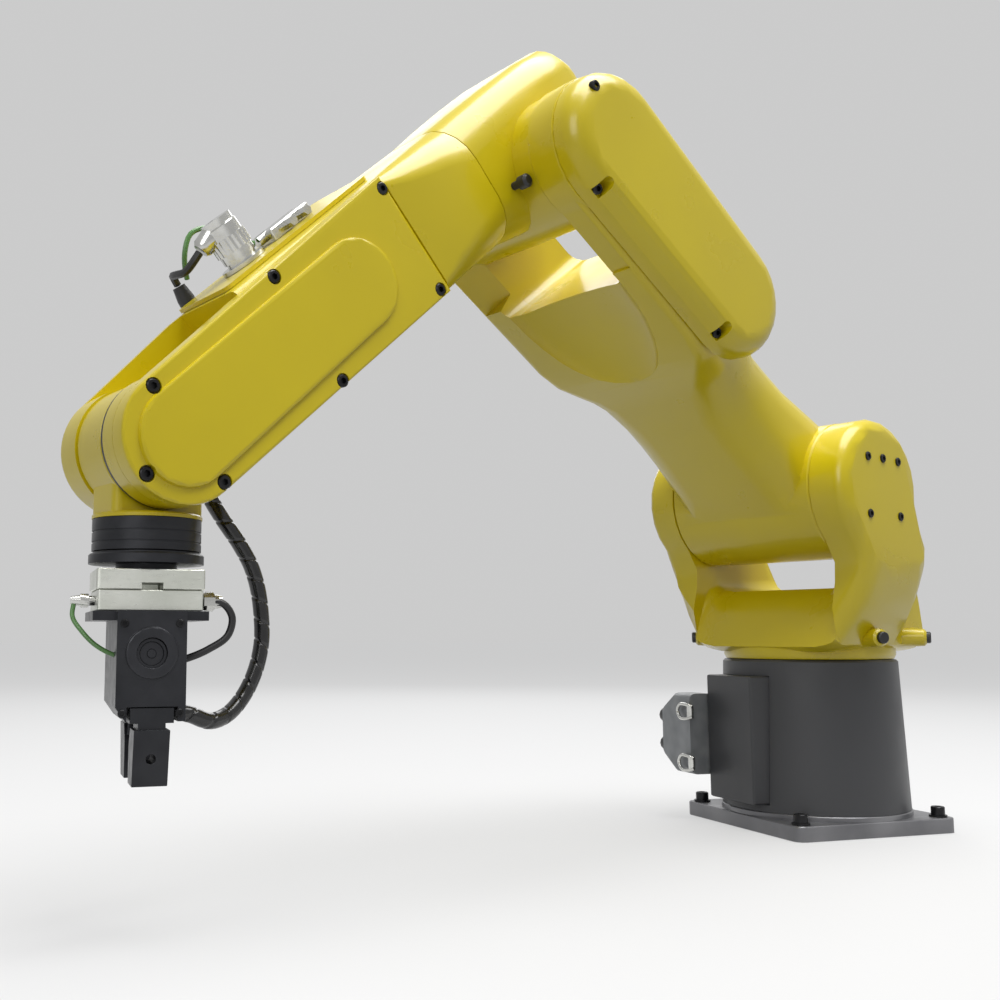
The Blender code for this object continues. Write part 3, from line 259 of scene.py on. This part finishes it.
def surface_finish(name, dark, light, roughness, metallic=0.0, coat=0.0, patch=6.0, grain=900.0,
                   bump=0.08, depth=0.0002, stretch=(1.0, 1.0, 1.0)):
    """Two close tones in broad patches, uneven gloss and a fine grain."""
    finish, shader = principled(name, light, sum(roughness) / 2, metallic, coat)
    tree = finish.node_tree
    mottled(tree, shader, noise(tree, patch, 5.0), dark, light)
    gloss = noise(tree, patch * 4, 6.0, stretch)
    tree.links.new(spread(tree, gloss, *roughness), shader.inputs["Roughness"])
    bumped(tree, shader, noise(tree, grain, 3.0, stretch), bump, depth)
    return finish


def make_finishes():
    """Every finish on the arm, by the record's slot name."""
    return {
        "yellow_paint": surface_finish(
            "yellow_gloss", (0.610, 0.480, 0.003), (0.670, 0.535, 0.004), (0.26, 0.36),
            coat=0.2, patch=5.0, grain=520.0, bump=0.05),
        "dark_grey_paint": surface_finish(
            "dark_grey_coat", (0.040, 0.041, 0.045), (0.055, 0.056, 0.060), (0.40, 0.52),
            coat=0.05, grain=1300.0, bump=0.12),
        "grey_plate": surface_finish(
            "worn_grey_plate", (0.15, 0.15, 0.16), (0.27, 0.27, 0.28), (0.28, 0.46),
            metallic=0.55, patch=18.0, grain=900.0, bump=0.1),
        "black_steel": surface_finish(
            "black_oxide_steel", (0.010, 0.010, 0.011), (0.028, 0.028, 0.030), (0.28, 0.42),
            metallic=0.7, patch=60.0),
        "black_plastic": surface_finish(
            "black_moulding", (0.008, 0.008, 0.009), (0.018, 0.018, 0.019), (0.38, 0.5),
            patch=40.0, grain=1800.0),
        "spiral_wrap": surface_finish(
            "glossy_wrap", (0.006, 0.006, 0.007), (0.014, 0.014, 0.015), (0.16, 0.28),
            patch=60.0, coat=0.3),
        "black_anodised": surface_finish(
            "black_anodised_metal", (0.016, 0.017, 0.020), (0.034, 0.035, 0.040), (0.30, 0.42),
            metallic=0.6, patch=30.0, grain=1500.0),
        "cast_grey": surface_finish(
            "cast_grey_metal", (0.20, 0.21, 0.22), (0.30, 0.31, 0.32), (0.42, 0.58),
            metallic=0.5, patch=50.0, grain=1100.0, bump=0.3),
        "bright_steel": surface_finish(
            "polished_steel", (0.50, 0.50, 0.48), (0.66, 0.66, 0.63), (0.14, 0.28),
            metallic=1.0, patch=50.0, stretch=(1.0, 1.0, 12.0)),
        "machined_aluminium": surface_finish(
            "milled_aluminium", (0.60, 0.62, 0.55), (0.78, 0.79, 0.73), (0.26, 0.42),
            metallic=0.85, patch=30.0, stretch=(1.0, 14.0, 14.0)),
        "green_tube": surface_finish(
            "green_air_tube", (0.08, 0.20, 0.05), (0.12, 0.28, 0.08), (0.22, 0.34), patch=40.0),
    }


def dress_nodes(frame, finishes):
    """Give each CAD node its slot's finish."""
    for entry in frame["record"]["subparts"]:
        mesh = frame["nodes"][entry["node"]].data
        mesh.materials.clear()
        mesh.materials.append(finishes[entry["material_slot"]])


# ---------------------------------------------------------------- modelled pieces

def round_shell(node, body, edge=0.0):
    """A CAD node's own shape, merged and shaded round, with sharp edges where its faces turn sharply."""
    mesh = frame["nodes"][node].data.copy()
    mesh.name = f"{node}_shell"
    for name in [attribute.name for attribute in mesh.attributes if attribute.name == "custom_normal"]:
        mesh.attributes.remove(mesh.attributes[name])
    shape = bmesh.new()
    shape.from_mesh(mesh)
    bmesh.ops.remove_doubles(shape, verts=shape.verts, dist=SHELL_MERGE)
    shape.to_mesh(mesh)
    shape.free()
    mesh.shade_smooth()
    mesh.set_sharp_from_angle(angle=radians(SHARP_ANGLE))
    piece = bpy.data.objects.new(f"{node}_shell", mesh)
    bpy.context.collection.objects.link(piece)
    if edge:
        bevel = piece.modifiers.new("soft_edges", "BEVEL")
        bevel.width = edge
        bevel.segments = 2
        bevel.limit_method = "ANGLE"
        bevel.angle_limit = radians(SHARP_ANGLE)
    weighted = piece.modifiers.new("flat_faces", "WEIGHTED_NORMAL")
    weighted.keep_sharp = True
    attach(piece, body)
    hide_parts(node)


def make_shells():
    """Round shells for every node but the hose, with softened edges on the plain machined ones."""
    bodies = frame["record"]["behaviour"]["bodies"]
    body_of = {node: body for body, nodes in bodies.items() for node in nodes}
    for entry in frame["record"]["subparts"]:
        node = entry["node"]
        if node != "spiral_hose":
            round_shell(node, body_of[node], SOFT_EDGES.get(node, 0.0))


def skin(name, rows, body, slot):
    """Mesh a grid of points that closes round its second direction; a row of equal points is a pole.

    A piece with no body is bent across a joint by its caller.
    """
    count, around = rows.shape[:2]
    numbers = np.arange(count * around).reshape(count, around)
    ahead = np.roll(numbers, -1, axis=1)
    quads = np.stack((numbers[:-1], ahead[:-1], ahead[1:], numbers[1:]), axis=-1).reshape(-1, 4)
    mesh = bpy.data.meshes.new(name)
    mesh.from_pydata(rows.reshape(-1, 3).tolist(), [], quads.tolist())
    shape = bmesh.new()
    shape.from_mesh(mesh)
    bmesh.ops.remove_doubles(shape, verts=shape.verts, dist=SKIN_MERGE)
    bmesh.ops.recalc_face_normals(shape, faces=shape.faces)
    shape.to_mesh(mesh)
    shape.free()
    mesh.shade_smooth()
    mesh.set_sharp_from_angle(angle=radians(SKIN_SHARP_ANGLE))
    mesh.materials.append(FINISHES[slot])
    piece = bpy.data.objects.new(name, mesh)
    bpy.context.collection.objects.link(piece)
    if body:
        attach(piece, body)
    return piece


def moved(rows, matrix):
    """Apply a 4x4 matrix to an array of points."""
    whole = np.array(matrix)
    return rows @ whole[:3, :3].T + whole[:3, 3]


def in_metres(profile):
    """A profile of (height, radius) in mm, in metres."""
    return [(height * MM, radius * MM) for height, radius in profile]


def turned(name, profile, matrix, body, slot, steps=28, wave=0.0, waves=0):
    """Turn a profile of (height, radius) about the matrix's Z.

    A point is (r w cos a, r w sin a, h), with w = 1 + wave cos(waves a).
    """
    height, radius = np.array(profile).T
    angle = np.linspace(0, 2 * pi, steps, endpoint=False)
    ripple = 1 + wave * np.cos(waves * angle)
    rows = np.stack((
        radius[:, None] * ripple * np.cos(angle),
        radius[:, None] * ripple * np.sin(angle),
        np.broadcast_to(height[:, None], (len(height), steps)),
    ), axis=-1)
    return skin(name, moved(rows, matrix), body, slot)


def facing(matrix, place, direction):
    """Matrix at a place in a joint's frame, with its Z along a direction there."""
    aim = Vector(direction).to_track_quat("Z", "Y").to_matrix().to_4x4()
    return matrix @ Matrix.Translation(place) @ aim


def cap_screw(name, matrix, body, radius, height):
    """Cap screw: a chamfered round head, with a hexagonal socket of radius r cos 30 / cos(a mod 60 - 30)."""
    edge = radius * SCREW_CHAMFER
    socket = radius * SCREW_SOCKET
    deep = height * SCREW_SOCKET_FLOOR
    profile = ((0.0, 0.0), (0.0, radius), (height - edge, radius), (height, radius - edge),
               (height, socket), (deep, socket), (deep, 0.0))
    rows_height, rows_radius = np.array(profile).T
    angle = np.linspace(0, 2 * pi, SCREW_STEPS, endpoint=False)
    six = cos(pi / 6) / np.cos((angle % (pi / 3)) - pi / 6)
    inner = (np.arange(len(profile)) >= 4)[:, None]
    reach = rows_radius[:, None] * np.where(inner, six, 1.0)
    rows = np.stack((reach * np.cos(angle), reach * np.sin(angle),
                     np.broadcast_to(rows_height[:, None], reach.shape)), axis=-1)
    return skin(name, moved(rows, matrix), body, "black_steel")


def smooth_path(points, count):
    """Points on a cubic Hermite curve through a route in metres, at equal steps along its straight spans.

    Between two of its points, p = h00 p0 + h10 w m0 + h01 p1 + h11 w m1, with the span's width w and its
    slopes m.
    """
    route = np.array(points)
    spans = np.linalg.norm(np.diff(route, axis=0), axis=1)
    knots = np.concatenate(([0.0], np.cumsum(spans)))
    slopes = np.gradient(route, knots, axis=0)
    places = np.linspace(0, knots[-1], count)
    piece = np.clip(np.searchsorted(knots, places, side="right") - 1, 0, len(spans) - 1)
    width = spans[piece][:, None]
    t = ((places - knots[piece]) / spans[piece])[:, None]
    return (
        (2 * t**3 - 3 * t**2 + 1) * route[piece]
        + (t**3 - 2 * t**2 + t) * width * slopes[piece]
        + (3 * t**2 - 2 * t**3) * route[piece + 1]
        + (t**3 - t**2) * width * slopes[piece + 1]
    )


def swept(name, path, side, radius, body, slot, around=16):
    """Sweep a circle along a path: p + r(s, a) (n cos a + b sin a), with n nearest to the side vector."""
    tangent = np.gradient(path, axis=0)
    tangent /= np.linalg.norm(tangent, axis=1)[:, None]
    normal = side - (tangent @ side)[:, None] * tangent
    normal /= np.linalg.norm(normal, axis=1)[:, None]
    across = np.cross(tangent, normal)
    angle = np.linspace(0, 2 * pi, around, endpoint=False)
    reach = radius(angle) if callable(radius) else np.full((len(path), around), radius)
    rows = path[:, None] + reach[..., None] * (
        normal[:, None] * np.cos(angle)[None, :, None] + across[:, None] * np.sin(angle)[None, :, None])
    ends = [np.repeat(path[i][None, None], around, axis=1) for i in (0, -1)]
    return skin(name, np.concatenate((ends[0], rows, ends[1])), body, slot)


def make_hose():
    """The hose in its spiral wrap, a tube with a helical groove, bent across the wrist.

    r = R - groove * clip((gap - |phase - 1/2|) / (gap / 2), 0, 1), with phase = s / pitch + a / 2 pi, mod 1.
    """
    route = moved(np.array(HOSE_ROUTE) * MM, WAIST)
    path = smooth_path(route, HOSE_ROWS)
    length = np.concatenate(([0.0], np.cumsum(np.linalg.norm(np.diff(path, axis=0), axis=1))))
    side = np.array(WAIST @ Vector((0, 1, 0)))

    def wrapped(angle):
        phase = (length[:, None] / WRAP_PITCH + angle[None, :] / (2 * pi)) % 1.0
        groove = np.clip((WRAP_GAP - np.abs(phase - 0.5)) / (WRAP_GAP * 0.5), 0.0, 1.0)
        return HOSE_RADIUS - WRAP_GROOVE * groove

    hose = swept("wrapped_hose", path, side, wrapped, None, "spiral_wrap", HOSE_COLUMNS)
    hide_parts("spiral_hose")
    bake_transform(hose, "forearm", "wrist", tuple(path[0]), tuple(path[-1]))


def make_screws():
    """Cap screws on the covers, cheek and gripper."""
    for index, (x, z) in enumerate(COVER_SCREWS, 1):
        seat = COVER_FACE - COVER_RECESS + COVER_SCREW_LIFT
        cap_screw(f"forearm_cover_screw_{index}", facing(FOREARM, (x * MM, seat, z * MM), (0, 1, 0)),
                  "forearm", *COVER_SCREW_HEAD)
    for index, (x, z) in enumerate(CHEEK_SCREWS, 1):
        seat = CHEEK_FACE - CHEEK_SCREW_SINK
        cap_screw(f"cheek_screw_{index}", facing(WAIST, (x * MM, seat, z * MM), (0, 1, 0)),
                  "turret", *CHEEK_SCREW_HEAD)
    for index, (x, z, y) in enumerate(ARM_COVER_SCREWS, 1):
        lean = ARM_COVER_LEAN if x > ARM_COVER_EDGE else 0.0
        cap_screw(f"arm_cover_screw_{index}", facing(SHOULDER, (x * MM, y * MM, z * MM), (lean, 1, 0)),
                  "upper_arm", *ARM_COVER_SCREW_HEAD)
    for index, (x, z) in enumerate(GRIPPER_SCREWS, 1):
        cap_screw(f"gripper_screw_{index}", facing(TOOL, (x * MM, GRIPPER_SCREW_SEAT, z * MM), (0, 1, 0)),
                  "tool", *GRIPPER_SCREW_HEAD)


def make_stop_tips():
    """Black buffers on the turret's three stops."""
    for index, azimuth in enumerate(STOP_AZIMUTHS, 1):
        direction = Vector((cos(radians(azimuth)), sin(radians(azimuth)), 0))
        place = direction * STOP_REACH + Vector((0, 0, STOP_HEIGHT))
        turned(f"stop_tip_{index}", in_metres(STOP_TIP_PROFILE), facing(WAIST, place, direction),
               "turret", "black_plastic")


def make_gripper_details():
    """Piston ring in the port, sensor lead with its nut, and the left air tube."""
    turned("piston_ring", in_metres(PISTON_RING_PROFILE), facing(TOOL, PORT_PLACE, (0, 1, 0)),
           "tool", "black_anodised", steps=36)
    side = np.array(TOOL.to_3x3() @ Vector((0, 1, 0)))
    lead = moved(np.array(SENSOR_LEAD_ROUTE) * MM, TOOL)
    swept("sensor_lead", smooth_path(lead, 40), side, SENSOR_LEAD_RADIUS, "tool", "black_plastic", around=14)
    air = moved(np.array(GRIPPER_TUBE_ROUTE) * MM, TOOL)
    swept("gripper_air_tube", smooth_path(air, 36), side, GRIPPER_TUBE_RADIUS,
          "tool", "green_tube", around=12)
    turned("sensor_nut", in_metres(SENSOR_NUT_PROFILE), facing(TOOL, SENSOR_NUT_PLACE, (0, 0, -1)),
           "tool", "bright_steel", steps=6)


def make_latches():
    """Two bright lever latches on the box's back, each a loop of rod round a pin."""
    near, far = LATCH_SPAN
    lifted = LATCH_FACE - LATCH_LIFT
    for index, height in enumerate(LATCH_HEIGHTS, 1):
        loop = np.array((
            (LATCH_FACE, near, height - 5 * MM),
            (lifted, near + 6 * MM, height - 7 * MM),
            (lifted, far - 5 * MM, height - 6 * MM),
            (LATCH_FACE - 2 * MM, far, height),
            (lifted, far - 5 * MM, height + 6 * MM),
            (lifted, near + 6 * MM, height + 7 * MM),
            (LATCH_FACE, near, height + 5 * MM),
        ))
        swept(f"latch_loop_{index}", smooth_path(loop, 48), np.array((1.0, 0.0, 0.0)), LATCH_ROD_RADIUS,
              "base", "bright_steel", around=10)
        turned(f"latch_pin_{index}", in_metres(LATCH_PIN_PROFILE),
               Matrix.Translation((LATCH_FACE, near + 4 * MM, height)), "base", "bright_steel", steps=20)


def make_cover_plugs():
    """Small dark plugs on the forearm's cover beside its raised panel."""
    for index, (x, z) in enumerate(COVER_PLUGS, 1):
        turned(f"cover_plug_{index}", in_metres(COVER_PLUG_PROFILE),
               facing(FOREARM, (x * MM, COVER_FACE, z * MM), (0, 1, 0)),
               "forearm", "black_plastic", steps=12)


def make_plug_details():
    """Ribbed coupling ring round the plug on the forearm."""
    turned("plug_coupling_ring", in_metres(PLUG_RING_PROFILE), facing(FOREARM, PLUG_RING_PLACE, (0, 0, 1)),
           "forearm", "bright_steel", steps=96, wave=PLUG_RING_RIB_DEPTH, waves=PLUG_RING_RIBS)


def make_prong_front():
    """Fill of the near prong's bevel, flush with the prong's front x(z).

    A row's corners are (b + o, f), (x, f) and (x, f - o + s (x - b)): back b, face f, slope s, overlap o.
    """
    arm = frame["nodes"]["upper_arm_casting"]
    inward = (SHOULDER.to_3x3() @ Vector((-1, 0, 0))).normalized()
    rows = []
    for z in np.linspace(*BEVEL_HEIGHTS, BEVEL_ROWS):
        hit, place, _, _ = arm.ray_cast(SHOULDER @ Vector((PROBE_START, PROBE_DEPTH, z)), inward)
        front = (SHOULDER.inverted() @ place).x if hit else 0.0
        back = BEVEL_BACK + BEVEL_OVERLAP
        if front > back:
            corner = BEVEL_FACE - BEVEL_OVERLAP + BEVEL_SLOPE * (front - BEVEL_BACK)
            rows.append(((back, BEVEL_FACE, z), (front, BEVEL_FACE, z), (front, corner, z)))
    rows = np.array(rows)
    ends = [np.repeat(row.mean(axis=0)[None, None], 3, axis=1) for row in (rows[0], rows[-1])]
    solid = moved(np.concatenate((ends[0], rows, ends[1])), SHOULDER)
    skin("near_prong_front", solid, "upper_arm", "yellow_paint")


def background_rays(tree):
    """1 for the rays that show the background: from the camera, off gloss and through glass."""
    ray = tree.nodes.new("ShaderNodeLightPath")
    shown = ray.outputs["Is Camera Ray"]
    for name in ("Is Glossy Ray", "Is Transmission Ray"):
        either = tree.nodes.new("ShaderNodeMath")
        either.operation = "MAXIMUM"
        tree.links.new(shown, either.inputs[0])
        tree.links.new(ray.outputs[name], either.inputs[1])
        shown = either.outputs["Value"]
    return shown


def make_stage():
    """Pale floor, soft studio lights and a pale surround."""
    bpy.ops.mesh.primitive_plane_add(size=FLOOR_SIZE, location=(0, 0, FLOOR_HEIGHT))
    floor = bpy.context.object
    floor.name = "floor"
    finish, shader = principled("pale_floor", FLOOR_COLOUR, FLOOR_ROUGHNESS)
    shader.inputs["Specular IOR Level"].default_value = 0.0
    shader.inputs["Emission Color"].default_value = FLOOR_GLOW
    finish.node_tree.links.new(background_rays(finish.node_tree), shader.inputs["Emission Strength"])
    floor.data.materials.append(finish)
    world = bpy.data.worlds.new("studio")
    bpy.context.scene.world = world
    world.use_nodes = True
    tree = world.node_tree
    light = tree.nodes["Background"]
    light.inputs["Color"].default_value = SKY_COLOUR
    light.inputs["Strength"].default_value = SKY_STRENGTH
    backdrop = tree.nodes.new("ShaderNodeBackground")
    backdrop.inputs["Color"].default_value = BACKDROP_COLOUR
    mix = tree.nodes.new("ShaderNodeMixShader")
    tree.links.new(background_rays(tree), mix.inputs["Fac"])
    tree.links.new(light.outputs["Background"], mix.inputs[1])
    tree.links.new(backdrop.outputs["Background"], mix.inputs[2])
    tree.links.new(mix.outputs["Shader"], tree.nodes["World Output"].inputs["Surface"])
    for lamp in LAMPS:
        area_light(*lamp)


def area_light(name, place, target, size, power):
    """A square lamp aimed at a point."""
    lamp = bpy.data.lights.new(name, "AREA")
    lamp.size = size
    lamp.energy = power
    item = bpy.data.objects.new(name, lamp)
    bpy.context.collection.objects.link(item)
    item.location = place
    item.rotation_euler = (Vector(target) - Vector(place)).to_track_quat("-Z", "Y").to_euler()


def make_camera():
    """Camera at the photograph's place, turned with the arm."""
    data = bpy.data.cameras.new("camera")
    data.sensor_width = SENSOR
    data.lens = LENS
    data.shift_x = SHIFT_X
    camera = bpy.data.objects.new("camera", data)
    bpy.context.collection.objects.link(camera)
    aim = Euler((radians(90 + VIEW_PITCH), 0, radians(VIEW_YAW - 90))).to_matrix().to_4x4()
    camera.matrix_world = WAIST @ Matrix.Translation(EYE) @ aim
    bpy.context.scene.camera = camera


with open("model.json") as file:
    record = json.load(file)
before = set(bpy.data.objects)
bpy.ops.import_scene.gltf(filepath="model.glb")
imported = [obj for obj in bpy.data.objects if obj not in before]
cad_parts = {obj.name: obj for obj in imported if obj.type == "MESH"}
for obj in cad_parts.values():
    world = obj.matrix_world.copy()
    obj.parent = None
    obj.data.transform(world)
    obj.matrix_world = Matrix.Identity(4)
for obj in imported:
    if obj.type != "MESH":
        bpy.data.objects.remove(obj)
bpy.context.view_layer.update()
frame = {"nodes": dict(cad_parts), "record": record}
FINISHES = make_finishes()
dress_nodes(frame, FINISHES)
make_screws()
make_stop_tips()
make_gripper_details()
make_plug_details()
make_cover_plugs()
make_latches()
make_prong_front()
make_shells()
make_hose()
make_stage()
make_camera()
bpy.context.scene.view_settings.view_transform = "Standard"
